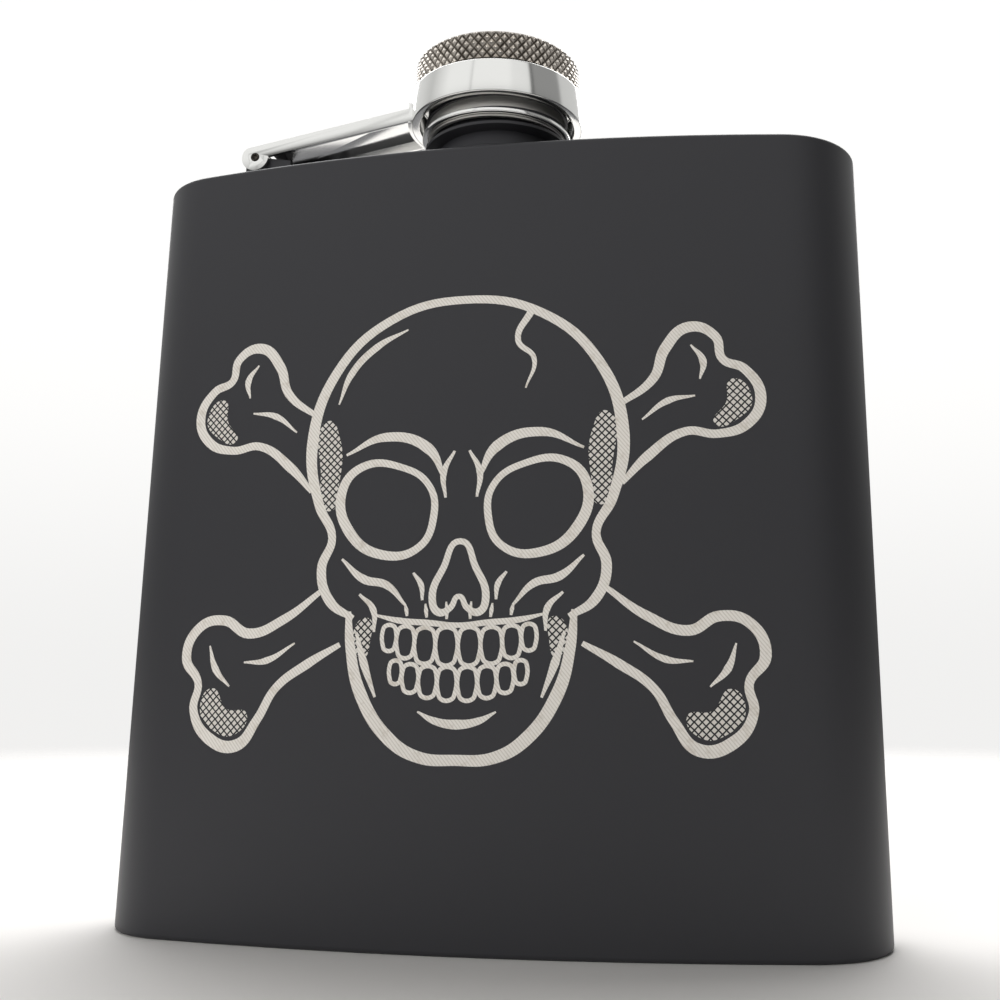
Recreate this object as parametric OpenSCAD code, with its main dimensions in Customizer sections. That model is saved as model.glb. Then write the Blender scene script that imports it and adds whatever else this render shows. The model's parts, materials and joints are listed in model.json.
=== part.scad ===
// Hip flask with a captive screw cap on a swing arm.
// Millimetres, +Z up. The origin is under the middle of the flask, on the
// surface that it stands on. The bowed front faces -Y and the hinge is at -X.

/* [Body] */
// Width across the two rounded ends
body_w = 94; // [88:1:104]
// Height from the standing rim to the top plate
body_h = 95.5; // [80:0.5:120]
// Thickness from front wall to back wall
body_t = 21.5; // [20:0.5:25]
// Radius that the middle of the body is bowed to
bow_r = 215; // [170:5:400]
// Thickness of the steel sheet
sheet = 0.6; // [0.5:0.1:0.8]
// Width of the rim that the flask stands on
rim_w = 2.2; // [1.8:0.2:3]
// Height of the hollow under the base
base_rise = 0.8; // [0.4:0.1:1.2]

/* [Neck] */
// Radius of the mouth
mouth_r = 7; // [6.5:0.1:7.2]
// Outer radius of the neck tube, at the root of its thread
neck_r = 8; // [7.9:0.05:8.05]
// Height of the neck above the top plate
neck_h = 10.1; // [10:0.05:10.3]
// Rise of the thread in one turn
pitch = 2; // [1.9:0.05:2.1]
// Turns of thread on the neck
neck_turns = 3.4; // [2.6:0.2:3.4]
// Turns of thread inside the cap
cap_turns = 1.4; // [0.8:0.2:1.4]

/* [Cap] */
// Radius of the knurled knob
knob_r = 11.1; // [10.9:0.1:11.3]
// Height of the knurled knob
knob_h = 4; // [3.6:0.1:5]
// Radius of the polished collar
collar_r = 11.5; // [11.3:0.1:11.8]
// Height of the polished collar
collar_h = 4.6; // [4.2:0.1:4.6]
// Height of the collar above the top plate
collar_up = 7; // [6.9:0.1:7]
// Outer radius of the threaded sleeve
sleeve_r = 9.3; // [9.25:0.05:9.3]
// Outer radius of the retaining ring
retainer_r = 10; // [9.9:0.05:10.1]

/* [Hinge] */
// Distance from the middle of the neck to the hinge pin
hinge_reach = 32.9; // [31:0.1:34]
// Height of the hinge pin above the top plate
pin_up = 4; // [3.8:0.1:4.2]
// Radius of the hinge pin
pin_r = 0.6; // [0.5:0.05:0.7]
// Width of the swing arm
arm_w = 8.4; // [7.6:0.2:9]
// Slope of the arm up to the collar, in degrees
arm_slope = 9.8; // [9:0.1:10.2]
// Thickness of the arm's sheet
arm_t = 0.5; // [0.4:0.05:0.6]

/* [Hidden] */
$fn = 96;

// Finishes
coated_black = "#2c2f34";
polished_steel = "#d9dbdc";
knurled_steel = "#a9a29a";
seal_white = "#d8d6cf";

// The body's outline: an arc of radius bow_r, thickened to body_t, with a
// half circle at each end
end_r = body_t / 2;
end_x = body_w / 2 - end_r;
bow_a = asin(end_x / bow_r);
end_y = bow_r * (1 - cos(bow_a));
blend = 0.02;
// The neck, cap and arm stand over the middle of the arc, where the collar
// reaches past the front wall. mid_y centres the whole flask on the origin
mid_y = (collar_r - end_r - end_y) / 2;

// Neck thread, as radii and as axial widths of its ridge
thread_depth = 0.6;
ridge_base = 0.9;
ridge_crest = 0.4;
ridge_root = 0.12;
ridge_steps = 36;
neck_foot = 1;
weld_r = 9.6;
weld_h = 0.8;
neck_thread_up = 2.1;

// Cap, from the threaded sleeve outwards. The gap is a running clearance
sleeve_wall = 0.55;
sleeve_tail = 0.25;
crest_gap = 0.2;
retainer_up = 4.95;
retainer_h = 0.6;
groove_gap = 0.05;
groove_r = sleeve_r - 0.3;
liner_h = 1.2;
liner_r = sleeve_r - sleeve_wall - 0.2;
slide_gap = 0.1;
knob_gap = 0.3;
knob_wall = 0.8;
knob_roof = 0.9;
knob_edge = 0.5;
shoulder_h = 1.2;
collar_wall = 0.8;
collar_lip = 1.1;
lip_h = 0.6;

// Heights above the surface that the flask stands on
neck_top = body_h + neck_h;
web_z = neck_top + liner_h;
collar_z = body_h + collar_up;
knob_z = collar_z + collar_h + knob_gap;
retainer_z = body_h + retainer_up;
neck_thread_z = body_h + neck_thread_up;
cap_thread_a = 144;
cap_thread_z = neck_thread_z + pitch * (1.5 + cap_thread_a / 360);

// Hinge. The knuckle and its post stay inside the arm's two cheeks
pin_x = -hinge_reach;
pin_z = body_h + pin_up;
cheek_r = 1.9;
arm_over = 1.55;
arm_under = 0.3;
arm_start = 1.6;
knuckle_r = 1.5;
pin_gap = 0.03;
knuckle_w = arm_w - 2 * arm_t - 0.3;
pin_proud = 0.1;
saddle_h = 2.9;
foot_h = 0.8;
foot_out = 3.6;
foot_in = 6.3;
block_x = 4.9;
block_drop = 0.6;

// Solid of the body's outline, set in from the outside by inset. The middle is
// thinner than the ends by blend a side, so that their curves cross cleanly
module bowed_slab(inset, h) {
  r = end_r - inset;
  translate([0, mid_y + bow_r, 0])
    rotate_extrude(angle = 2 * bow_a, start = -90 - bow_a, $fn = 720)
      translate([bow_r - r + blend, 0]) square([2 * (r - blend), h]);
  for (side = [-1, 1])
    translate([side * end_x, mid_y + end_y, 0]) cylinder(r = r, h = h);
}

// One ring of a helical ridge's four corners, at step i
function ridge_ring(i, r0, r1, w0, w1) =
  let (a = 360 * i / ridge_steps, z = pitch * i / ridge_steps)
    [for (p = [[r0, -w0 / 2], [r1, -w1 / 2], [r1, w1 / 2], [r0, w0 / 2]])
      [p[0] * cos(a), p[0] * sin(a), z + p[1]]];

// Helical ridge from its root at radius r0 to its crest at r1, w0 and w1 wide
module helical_ridge(r0, r1, w0, w1, turns) {
  n = ceil(turns * ridge_steps);
  side = [for (i = [0 : n - 1], k = [0 : 3])
    let (a = 4 * i + k, b = 4 * i + (k + 1) % 4)
      [a, b, b + 4, a + 4]];
  ends = [[3, 2, 1, 0], [4 * n, 4 * n + 1, 4 * n + 2, 4 * n + 3]];
  faces = concat(side, ends);
  points = [for (i = [0 : n], p = ridge_ring(i, r0, r1, w0, w1)) p];
  inward = [for (f = faces) [for (k = [len(f) - 1 : -1 : 0]) f[k]]];
  polyhedron(points, r1 > r0 ? faces : inward, convexity = 10);
}

// Hollow cylinder standing on z
module tube(r_in, r_out, z, h) {
  translate([0, 0, z])
    difference() {
      cylinder(r = r_out, h = h);
      translate([0, 0, -1]) cylinder(r = r_in, h = h + 2);
    }
}

// Pressed base: a flat rim with its middle raised clear of the table
module bottom_plate() {
  color(coated_black)
    difference() {
      union() {
        bowed_slab(0, sheet);
        bowed_slab(rim_w, base_rise + sheet);
      }
      translate([0, 0, -1]) bowed_slab(rim_w + sheet, base_rise + 1);
    }
}

// Sheet wrapped round to make the front, the back and both ends
module body_wall() {
  h = body_h - 2 * sheet;
  color(coated_black)
    translate([0, 0, sheet])
      difference() {
        bowed_slab(0, h);
        translate([0, 0, -1]) bowed_slab(sheet, h + 2);
      }
}

// Flat top with a hole for the neck
module top_plate() {
  color(coated_black)
    difference() {
      translate([0, 0, body_h - sheet]) bowed_slab(0, sheet);
      translate([0, mid_y, body_h - sheet - 1]) cylinder(r = neck_r, h = sheet + 2);
    }
}

// Threaded spout with its weld bead
module neck() {
  color(coated_black)
    translate([0, mid_y, 0])
      difference() {
        union() {
          translate([0, 0, body_h - sheet - neck_foot])
            cylinder(r = neck_r, h = neck_h + sheet + neck_foot);
          translate([0, 0, body_h]) cylinder(r = weld_r, h = weld_h);
          translate([0, 0, neck_thread_z])
            helical_ridge(neck_r - ridge_root, neck_r + thread_depth,
                          ridge_base, ridge_crest, neck_turns);
        }
        translate([0, 0, body_h - sheet - neck_foot - 1])
          cylinder(r = mouth_r, h = neck_h + sheet + neck_foot + 2);
      }
}

// Welded bracket whose knuckle carries the hinge pin
module hinge_base() {
  foot_z = foot_h - pin_up;
  color(coated_black)
    translate([pin_x, mid_y, pin_z])
      difference() {
        union() {
          rotate([90, 0, 0])
            linear_extrude(knuckle_w, center = true)
              polygon([[-foot_out, -pin_up], [-foot_out, foot_z],
                       [-knuckle_r, foot_z], [-knuckle_r, 0],
                       [knuckle_r, 0], [block_x, -block_drop],
                       [block_x, foot_z], [foot_in, foot_z],
                       [foot_in, -pin_up]]);
          rotate([90, 0, 0]) cylinder(r = knuckle_r, h = knuckle_w, center = true);
        }
        rotate([90, 0, 0])
          cylinder(r = pin_r + pin_gap, h = knuckle_w + 2, center = true);
      }
}

// Pin held in the arm's cheeks and turning in the knuckle
module hinge_pin() {
  color(polished_steel)
    translate([pin_x, mid_y, pin_z])
      rotate([90, 0, 0])
        cylinder(r = pin_r, h = arm_w + 2 * pin_proud, center = true);
}

// Channel arm: a top sheet, two flanges that end in cheeks, and the saddle
// that is welded to the collar
module hinge_arm() {
  reach = hinge_reach / cos(arm_slope);
  color(polished_steel)
    difference() {
      union() {
        translate([pin_x, mid_y, pin_z])
          rotate([0, -arm_slope, 0]) {
            translate([arm_start, -arm_w / 2, arm_over - arm_t])
              cube([reach - arm_start, arm_w, arm_t]);
            for (y = [-arm_w / 2, arm_w / 2 - arm_t]) {
              translate([0, y, -arm_under])
                cube([reach, arm_t, arm_over + arm_under]);
              translate([0, y + arm_t, 0])
                rotate([90, 0, 0])
                  intersection() {
                    cylinder(r = cheek_r, h = arm_t);
                    translate([-cheek_r, -cheek_r - 1, -1])
                      cube([2 * cheek_r, cheek_r + 1 + arm_over, arm_t + 2]);
                  }
            }
          }
        intersection() {
          translate([0, mid_y, 0])
            tube(collar_r, collar_r + arm_t, collar_z + 0.2, saddle_h);
          translate([-2 * collar_r, mid_y - arm_w / 2, collar_z])
            cube([2 * collar_r, arm_w, collar_h]);
        }
      }
      translate([0, mid_y, collar_z - 5]) cylinder(r = collar_r, h = 12);
      translate([0, mid_y - arm_w, collar_z - 5]) cube([20, 2 * arm_w, 12]);
      translate([pin_x, mid_y, pin_z])
        rotate([90, 0, 0]) cylinder(r = pin_r, h = 2 * arm_w, center = true);
    }
}

// Polished collar: a drawn cup, open below, that the sleeve slides and turns in
module cap_ring() {
  color(polished_steel)
    translate([0, mid_y, collar_z])
      rotate_extrude()
        polygon([[collar_r - collar_lip, 0], [collar_r, 0],
                 [collar_r, collar_h], [sleeve_r + slide_gap, collar_h],
                 [sleeve_r + slide_gap, collar_h - collar_wall],
                 [collar_r - collar_wall, collar_h - collar_wall],
                 [collar_r - collar_wall, lip_h],
                 [collar_r - collar_lip, lip_h]]);
}

// Ring in the sleeve's groove, which stops the cap leaving the collar
module retaining_ring() {
  color(polished_steel)
    translate([0, mid_y, 0])
      tube(groove_r + groove_gap, retainer_r, retainer_z, retainer_h);
}

// Threaded sleeve: its closed top is pressed into the knob
module threaded_sleeve() {
  low = retainer_z - groove_gap - sleeve_tail;
  root = sleeve_r - sleeve_wall;
  color(polished_steel)
    translate([0, mid_y, 0])
      difference() {
        union() {
          tube(root, sleeve_r, low, web_z - low + 0.2);
          translate([0, 0, web_z]) cylinder(r = sleeve_r, h = knob_z - web_z);
          translate([0, 0, knob_z]) cylinder(r = knob_r - knob_wall, h = shoulder_h);
          translate([0, 0, cap_thread_z])
            rotate([0, 0, cap_thread_a])
              helical_ridge(root + ridge_root, neck_r + crest_gap,
                            ridge_base, ridge_crest, cap_turns);
        }
        tube(groove_r, sleeve_r + 1, retainer_z - groove_gap,
             retainer_h + 2 * groove_gap);
      }
}

// Soft disc that seals on the rim of the neck
module cap_liner() {
  color(seal_white)
    translate([0, mid_y, neck_top]) cylinder(r = liner_r, h = liner_h);
}

// Knurled shell pressed over the sleeve's shoulder
module knob() {
  in_r = knob_r - knob_wall;
  color(knurled_steel)
    translate([0, mid_y, knob_z])
      rotate_extrude()
        polygon([[in_r, 0], [knob_r, 0], [knob_r, knob_h - knob_edge],
                 [knob_r - knob_edge, knob_h], [0, knob_h],
                 [0, knob_h - knob_roof], [in_r, knob_h - knob_roof]]);
}

bottom_plate();
body_wall();
top_plate();
neck();
hinge_base();
hinge_pin();
hinge_arm();
cap_ring();
retaining_ring();
threaded_sleeve();
cap_liner();
knob();
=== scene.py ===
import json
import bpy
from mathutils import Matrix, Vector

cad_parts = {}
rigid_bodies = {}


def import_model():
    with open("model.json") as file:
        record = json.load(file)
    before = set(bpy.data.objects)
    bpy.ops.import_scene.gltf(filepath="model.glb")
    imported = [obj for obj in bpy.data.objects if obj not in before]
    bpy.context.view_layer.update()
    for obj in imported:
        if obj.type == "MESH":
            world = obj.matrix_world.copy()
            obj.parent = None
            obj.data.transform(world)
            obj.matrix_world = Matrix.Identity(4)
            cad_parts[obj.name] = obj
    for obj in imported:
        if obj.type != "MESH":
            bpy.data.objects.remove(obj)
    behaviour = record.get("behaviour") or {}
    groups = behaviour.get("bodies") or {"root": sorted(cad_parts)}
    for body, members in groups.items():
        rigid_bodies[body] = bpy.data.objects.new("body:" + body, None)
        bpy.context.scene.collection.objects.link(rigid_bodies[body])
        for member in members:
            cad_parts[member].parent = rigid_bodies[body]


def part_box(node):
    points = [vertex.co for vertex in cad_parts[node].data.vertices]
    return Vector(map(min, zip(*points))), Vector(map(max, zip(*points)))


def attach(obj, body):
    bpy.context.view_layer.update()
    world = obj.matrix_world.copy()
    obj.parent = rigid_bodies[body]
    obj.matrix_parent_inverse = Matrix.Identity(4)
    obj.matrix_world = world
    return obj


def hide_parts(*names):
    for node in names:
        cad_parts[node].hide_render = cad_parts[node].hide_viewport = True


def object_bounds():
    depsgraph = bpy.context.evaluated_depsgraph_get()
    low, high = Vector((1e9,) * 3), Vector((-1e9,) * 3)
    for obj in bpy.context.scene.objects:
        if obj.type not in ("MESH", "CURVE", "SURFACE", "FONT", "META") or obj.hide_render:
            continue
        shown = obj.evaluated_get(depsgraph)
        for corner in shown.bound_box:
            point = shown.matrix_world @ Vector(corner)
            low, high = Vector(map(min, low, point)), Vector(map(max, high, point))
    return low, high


bl_info = {
    "name": "Hip Flask",
    "version": (1, 0, 0),
    "blender": (4, 5, 0),
    "location": "View3D > Sidebar > Hip Flask",
    "description": "Makes a coated hip flask with a captive screw cap around its packed frame",
    "category": "Object",
}

from math import atan2, ceil, cos, hypot, pi, radians, sin, sqrt, tan, tau

import bpy
from mathutils import Matrix, Vector

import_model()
CAD_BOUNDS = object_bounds()

MM = 0.001
SMOOTH_ANGLE = radians(32)
MERGE = 2e-6


# ---------------------------------------------------------------- sizes and finishes


def length(name, description, millimetres):
    """A size in metres, given in millimetres."""
    return bpy.props.FloatProperty(
        name=name, description=description, default=millimetres * MM,
        min=0.0, precision=5, unit="LENGTH", subtype="DISTANCE",
    )


def amount(name, description, value, low=0.0, high=1.0):
    """A plain number with its limits."""
    return bpy.props.FloatProperty(
        name=name, description=description, default=value, min=low, max=high, precision=3
    )


def colour(name, description, value):
    """A linear colour."""
    return bpy.props.FloatVectorProperty(
        name=name, description=description, default=value,
        size=3, min=0.0, max=1.0, subtype="COLOR",
    )


class BodySizes(bpy.types.PropertyGroup):
    bow: length("Bow radius", "Radius that the middle of the body is bowed to", 215)
    thickness: length("Thickness", "From the front wall to the back wall", 21.5)
    sheet: length("Sheet", "Thickness of the steel sheet", 0.6)
    top_round: length("Top edge", "Rounding where the walls meet the top", 0.45)
    base_round: length("Base edge", "Rounding where the walls meet the base", 0.55)
    rim: length("Standing rim", "Width of the rim that the flask stands on", 2.2)
    rise: length("Base hollow", "Height of the hollow under the base", 0.8)
    bow_steps: bpy.props.IntProperty(
        name="Bow steps", description="Facets along the bowed front and back", default=60, min=12
    )
    end_steps: bpy.props.IntProperty(
        name="End steps", description="Facets round each end of the body", default=40, min=12
    )


class CapSizes(bpy.types.PropertyGroup):
    mouth: length("Mouth radius", "Radius of the bore through the neck", 7)
    neck: length("Neck radius", "Radius of the neck at the root of its thread", 8)
    weld: length("Weld height", "Height of the weld bead round the neck", 0.8)
    pitch: length("Thread pitch", "Rise of the thread in one turn", 2)
    ridge_base: length("Thread base", "Width of the thread's ridge at its root", 0.9)
    ridge_crest: length("Thread crest", "Width of the thread's ridge at its crest", 0.4)
    sleeve: length("Sleeve radius", "Outer radius of the threaded sleeve", 9.3)
    sleeve_wall: length("Sleeve wall", "Thickness of the threaded sleeve", 0.55)
    groove: length("Groove depth", "Depth of the groove that holds the retaining ring", 0.3)
    collar_wall: length("Collar wall", "Thickness of the polished collar", 0.8)
    collar_lip: length("Collar lip", "Width of the collar's turned-in lower lip", 1.1)
    knob_wall: length("Knob wall", "Thickness of the knurled knob", 0.8)
    knob_roof: length("Knob roof", "Thickness of the knob's top", 0.9)
    knurl_depth: length("Knurl depth", "Height of the knurl's diamonds", 0.34)
    knurl_count: bpy.props.IntProperty(
        name="Diamonds", description="Knurled diamonds round the knob", default=60, min=24
    )
    knurl_rows: bpy.props.IntProperty(
        name="Half rows", description="Half rows of diamonds up the knob", default=5, min=3
    )


class ArmSizes(bpy.types.PropertyGroup):
    slope: bpy.props.FloatProperty(
        name="Slope", description="Slope of the arm up to the collar",
        default=radians(9.8), subtype="ANGLE", unit="ROTATION",
    )
    sheet: length("Sheet", "Thickness of the arm's sheet", 0.5)
    cheek: length("Cheek radius", "Radius of the cheeks round the pin", 1.9)
    over: length("Above the pin", "Height of the arm's top above the pin", 1.55)
    under: length("Below the pin", "Depth of the arm's flanges below the pin", 0.3)
    start: length("Top start", "Distance from the pin to where the top sheet starts", 1.6)
    knuckle: length("Knuckle radius", "Radius of the bracket's knuckle", 1.5)
    saddle: length("Saddle height", "Height of the saddle welded to the collar", 2.9)
    foot: length("Foot thickness", "Thickness of the bracket's foot", 0.8)


class PictureSizes(bpy.types.PropertyGroup):
    centre: bpy.props.FloatProperty(
        name="Centre", description="Place of the picture's middle line across the front",
        default=-0.9 * MM, unit="LENGTH", subtype="DISTANCE",
    )
    height: length("Height", "Distance from the base up to the picture's lowest point", 20)
    proud: length("Depth", "How far the bare lines differ from the coating", 0.03)
    weight: amount("Line weight", "Scale of every line's width", 1.0, 0.3, 2.0)


class FinishColours(bpy.types.PropertyGroup):
    coating: colour("Coating", "Black powder coating", (0.0048, 0.0052, 0.0064))
    polished: colour("Polished steel", "Arm, collar and retaining ring", (0.86, 0.86, 0.855))
    knurled: colour("Knurled steel", "Knob", (0.88, 0.82, 0.75))
    # Painted shade: the dark colour laid in the knurl's grooves, where shade falls
    groove_shade: colour("Groove_shade", "Dark residue in the knurl's grooves", (0.10, 0.085, 0.07))
    turned: colour("Turned steel", "Sleeve and pin", (0.42, 0.40, 0.37))
    engraved: colour("Engraved steel", "Steel where the coating is burnt away", (0.80, 0.765, 0.71))
    seal: colour("Seal", "Soft sealing disc", (0.72, 0.70, 0.64))


class StudioSetup(bpy.types.PropertyGroup):
    place: bpy.props.FloatVectorProperty(
        name="Camera place", description="Where the camera stands",
        default=(0.035969, -0.145311, 0.028052), size=3, unit="LENGTH", subtype="TRANSLATION",
    )
    turn: bpy.props.FloatVectorProperty(
        name="Camera turn", description="How the camera is turned",
        default=(radians(102.55), radians(-0.11), radians(9.86)), size=3,
        subtype="EULER", unit="ROTATION",
    )
    lens: bpy.props.FloatProperty(
        name="Lens", description="Focal length in millimetres on a 36 mm sensor",
        default=42.6, min=10, max=200,
    )
    shift: bpy.props.FloatVectorProperty(
        name="Shift", description="Sideways and upward shift of the lens",
        default=(-0.0753, -0.0699), size=2,
    )
    floor: colour("Floor", "Pale floor", (0.86, 0.84, 0.82))
    reach: length("Floor", "Distance from the flask at which the floor fades into the backdrop", 600)
    key: amount("Key light", "Power of the soft light behind and above, in watts", 4.6, 0.0, 50.0)
    fill: amount("Front light", "Power of the soft light in front, in watts", 3.0, 0.0, 50.0)


GROUPS = {
    "flask_body": BodySizes,
    "flask_cap": CapSizes,
    "flask_arm": ArmSizes,
    "flask_picture": PictureSizes,
    "flask_finish": FinishColours,
    "flask_studio": StudioSetup,
}


# ---------------------------------------------------------------- modelling helpers


def let_go():
    """Leave edit mode with nothing selected."""
    if bpy.context.mode != "OBJECT":
        bpy.ops.object.mode_set(mode="OBJECT")
    bpy.ops.object.select_all(action="DESELECT")


def hold(piece):
    """Make one piece the only one selected."""
    let_go()
    piece.select_set(True)
    bpy.context.view_layer.objects.active = piece
    return piece


def begin(name):
    """A new piece at the origin with nothing in it yet, in edit mode."""
    let_go()
    bpy.ops.mesh.primitive_plane_add(size=MM, location=(0, 0, 0))
    piece = bpy.context.object
    piece.name = name
    piece.data.name = name
    bpy.ops.object.mode_set(mode="EDIT")
    bpy.ops.mesh.select_mode(type="VERT")
    bpy.ops.mesh.select_all(action="SELECT")
    bpy.ops.mesh.delete(type="VERT")
    return piece


def draw(points, closed=False):
    """Extrude one vertex through points, which leaves the whole line selected."""
    bpy.ops.mesh.select_all(action="DESELECT")
    bpy.ops.mesh.primitive_plane_add(size=MM, location=points[0])
    bpy.ops.mesh.merge(type="CENTER")
    way = list(points) + ([points[0]] if closed else [])
    for here, there in zip(way, way[1:]):
        bpy.ops.mesh.extrude_region_move(TRANSFORM_OT_translate={"value": there - here})
    bpy.ops.mesh.select_linked()
    if closed:
        bpy.ops.mesh.remove_doubles(threshold=MERGE)
    choose(lambda co: any((co - p).length < MERGE for p in points))


def choose(test, kind="VERT"):
    """Select the vertices, edges or faces whose place passes the test."""
    mesh = bpy.context.object.data
    bpy.ops.mesh.select_mode(type=kind)
    bpy.ops.mesh.select_all(action="DESELECT")
    bpy.ops.object.mode_set(mode="OBJECT")
    if kind == "VERT":
        for v in mesh.vertices:
            v.select = test(v.co)
    elif kind == "EDGE":
        for e in mesh.edges:
            a, b = (mesh.vertices[i].co for i in e.vertices)
            e.select = test(a) and test(b)
    else:
        for f in mesh.polygons:
            f.select = test(f.center)
    bpy.ops.object.mode_set(mode="EDIT")


def close_up():
    """Merge the seams and turn every face outwards."""
    bpy.ops.mesh.select_all(action="SELECT")
    bpy.ops.mesh.remove_doubles(threshold=MERGE)
    bpy.ops.mesh.normals_make_consistent(inside=False)
    bpy.ops.mesh.select_all(action="DESELECT")
    bpy.ops.object.mode_set(mode="OBJECT")


def rounded(corners, steps=5, closed=False):
    """The outline through corners (x, z, radius), with each corner rounded."""
    points = []
    count = len(corners)
    for i, (x, z, radius) in enumerate(corners):
        corner = Vector((x, z))
        if radius == 0 or (not closed and i in (0, count - 1)):
            points.append(corner)
            continue
        before = (Vector(corners[i - 1][:2]) - corner).normalized()
        after = (Vector(corners[(i + 1) % count][:2]) - corner).normalized()
        half = before.angle(after) / 2
        middle = corner + (before + after).normalized() * radius / sin(half)
        start = (corner + before * radius / tan(half) - middle).normalized()
        end = (corner + after * radius / tan(half) - middle).normalized()
        points += [middle + radius * start.slerp(end, k / steps) for k in range(steps + 1)]
    return points


def arc(x, z, radius, start, end, steps):
    """Points on an arc about (x, z), from one angle to another in degrees."""
    angles = [radians(start + (end - start) * k / steps) for k in range(steps + 1)]
    return [Vector((x + radius * cos(a), z + radius * sin(a))) for a in angles]


def lathe(name, outline, centre, steps=128, closed=False, along="Z"):
    """Spin an outline of (radius, height) about an axis through centre."""
    piece = begin(name)
    if along == "Z":
        points = [Vector((centre.x + r, centre.y, h)) for r, h in outline]
        axis = (0, 0, 1)
    else:
        points = [Vector((centre.x + r, h, centre.z)) for r, h in outline]
        axis = (0, 1, 0)
    draw(points, closed)
    bpy.ops.mesh.spin(steps=steps, angle=tau, center=centre, axis=axis)
    close_up()
    return piece


def slab(name, outline, y_low, y_high):
    """Fill an outline of (x, z) and extrude it from y_low to y_high."""
    piece = begin(name)
    draw([Vector((x, y_low, z)) for x, z in outline], closed=True)
    bpy.ops.mesh.edge_face_add()
    bpy.ops.mesh.extrude_region_move(
        TRANSFORM_OT_translate={"value": (0, y_high - y_low, 0)}
    )
    close_up()
    return piece


def combine(piece, other, operation="UNION"):
    """Join, cut or keep the overlap of two closed pieces, and drop the second one."""
    hold(piece)
    fit = piece.modifiers.new("fit", "BOOLEAN")
    fit.operation = operation
    fit.solver = "MANIFOLD"
    fit.object = other
    bpy.ops.object.modifier_apply(modifier=fit.name)
    bpy.data.objects.remove(other)
    return piece


def drill(piece, radius, low, high, centre, along="Y", steps=48):
    """Cut a round hole through a piece, from low to high along its axis."""
    outline = [Vector(p) for p in ((0, low), (radius, low), (radius, high), (0, high))]
    combine(piece, lathe("cutter", outline, centre, steps=steps, along=along), "DIFFERENCE")


def soften(piece, width, segments=3, angle=radians(30)):
    """Round every sharp edge of a piece."""
    hold(piece)
    edge = piece.modifiers.new("edges", "BEVEL")
    edge.width = width
    edge.segments = segments
    edge.limit_method = "ANGLE"
    edge.angle_limit = angle
    edge.miter_outer = "MITER_ARC"
    bpy.ops.object.modifier_apply(modifier=edge.name)
    return piece


def finish_piece(piece, body, finishes, nodes=()):
    """Settle a piece in the frame, smooth it, and give it its finishes and its body."""
    hold(piece)
    bpy.ops.object.transform_apply(location=True, rotation=True, scale=True)
    bpy.ops.object.shade_smooth_by_angle(angle=SMOOTH_ANGLE)
    piece.data.materials.clear()
    for finish in finishes:
        piece.data.materials.append(finish)
    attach(piece, body)
    if nodes:
        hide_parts(*nodes)
    let_go()
    return piece


def cap_axis():
    """A point on the middle line of the neck and the cap."""
    low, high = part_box("neck")
    return Vector(((low.x + high.x) / 2, (low.y + high.y) / 2, 0))


def pin_centre():
    low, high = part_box("hinge_pin")
    return (low + high) / 2


# ---------------------------------------------------------------- body


class BodyShape:
    """The bowed outline of the body: two arcs and a half circle at each end."""

    def __init__(self):
        sizes = bpy.context.scene.flask_body
        low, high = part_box("body_wall")
        self.sizes = sizes
        self.end_r = sizes.thickness / 2
        self.end_x = high.x - self.end_r
        self.mid_y = cap_axis().y
        self.turn = atan2(self.end_x, sqrt(sizes.bow**2 - self.end_x**2))
        self.bow_centre = Vector((0, self.mid_y + sizes.bow, 0))
        self.end_y = self.mid_y + sizes.bow * (1 - cos(self.turn))
        self.front_r = sizes.bow + self.end_r

    def front(self, x):
        """The y of the front wall at x."""
        return self.bow_centre.y - sqrt(self.front_r**2 - x * x)

    def wrap(self, outline, closed=False):
        """Spin an outline of (inset, height) once round the body."""
        way = Vector((-sin(self.turn), -cos(self.turn), 0))
        points = [
            self.bow_centre + way * (self.front_r - inset) + Vector((0, 0, height))
            for inset, height in outline
        ]
        draw(points, closed)
        ends = [Vector((side * self.end_x, self.end_y, 0)) for side in (1, -1)]
        steps = self.sizes.bow_steps, self.sizes.end_steps
        for centre, angle, count in (
            (self.bow_centre, -2 * self.turn, steps[0]),
            (ends[0], -pi, steps[1]),
            (self.bow_centre, 2 * self.turn, steps[0]),
            (ends[1], -pi, steps[1]),
        ):
            bpy.ops.mesh.spin(steps=count, angle=angle, center=centre, axis=(0, 0, 1))
        bpy.ops.mesh.select_all(action="SELECT")
        bpy.ops.mesh.remove_doubles(threshold=MERGE)
        bpy.ops.mesh.select_all(action="DESELECT")


def choose_rim(height):
    """Select the open edges that lie at one height."""
    bpy.ops.mesh.select_mode(type="EDGE")
    bpy.ops.mesh.select_all(action="DESELECT")
    bpy.ops.mesh.select_non_manifold(
        extend=False, use_wire=True, use_boundary=True, use_multi_face=False,
        use_non_contiguous=False, use_verts=False,
    )
    mesh = bpy.context.object.data
    bpy.ops.object.mode_set(mode="OBJECT")
    for e in mesh.edges:
        flat = all(abs(mesh.vertices[i].co.z - height) < MERGE for i in e.vertices)
        e.select = e.select and flat
    bpy.ops.object.mode_set(mode="EDIT")


class FLASK_OT_walls(bpy.types.Operator):
    """Wrap one sheet round to make the front, the back and both ends"""

    bl_idname = "flask.walls"
    bl_label = "Walls"

    def execute(self, context):
        shape = BodyShape()
        low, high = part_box("body_wall")
        sheet = shape.sizes.sheet
        piece = begin("walls")
        shape.wrap([(0, low.z), (0, high.z), (sheet, high.z), (sheet, low.z)], closed=True)
        close_up()
        finish_piece(piece, "flask", [black_coating()], ["body_wall"])
        return {"FINISHED"}


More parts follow.
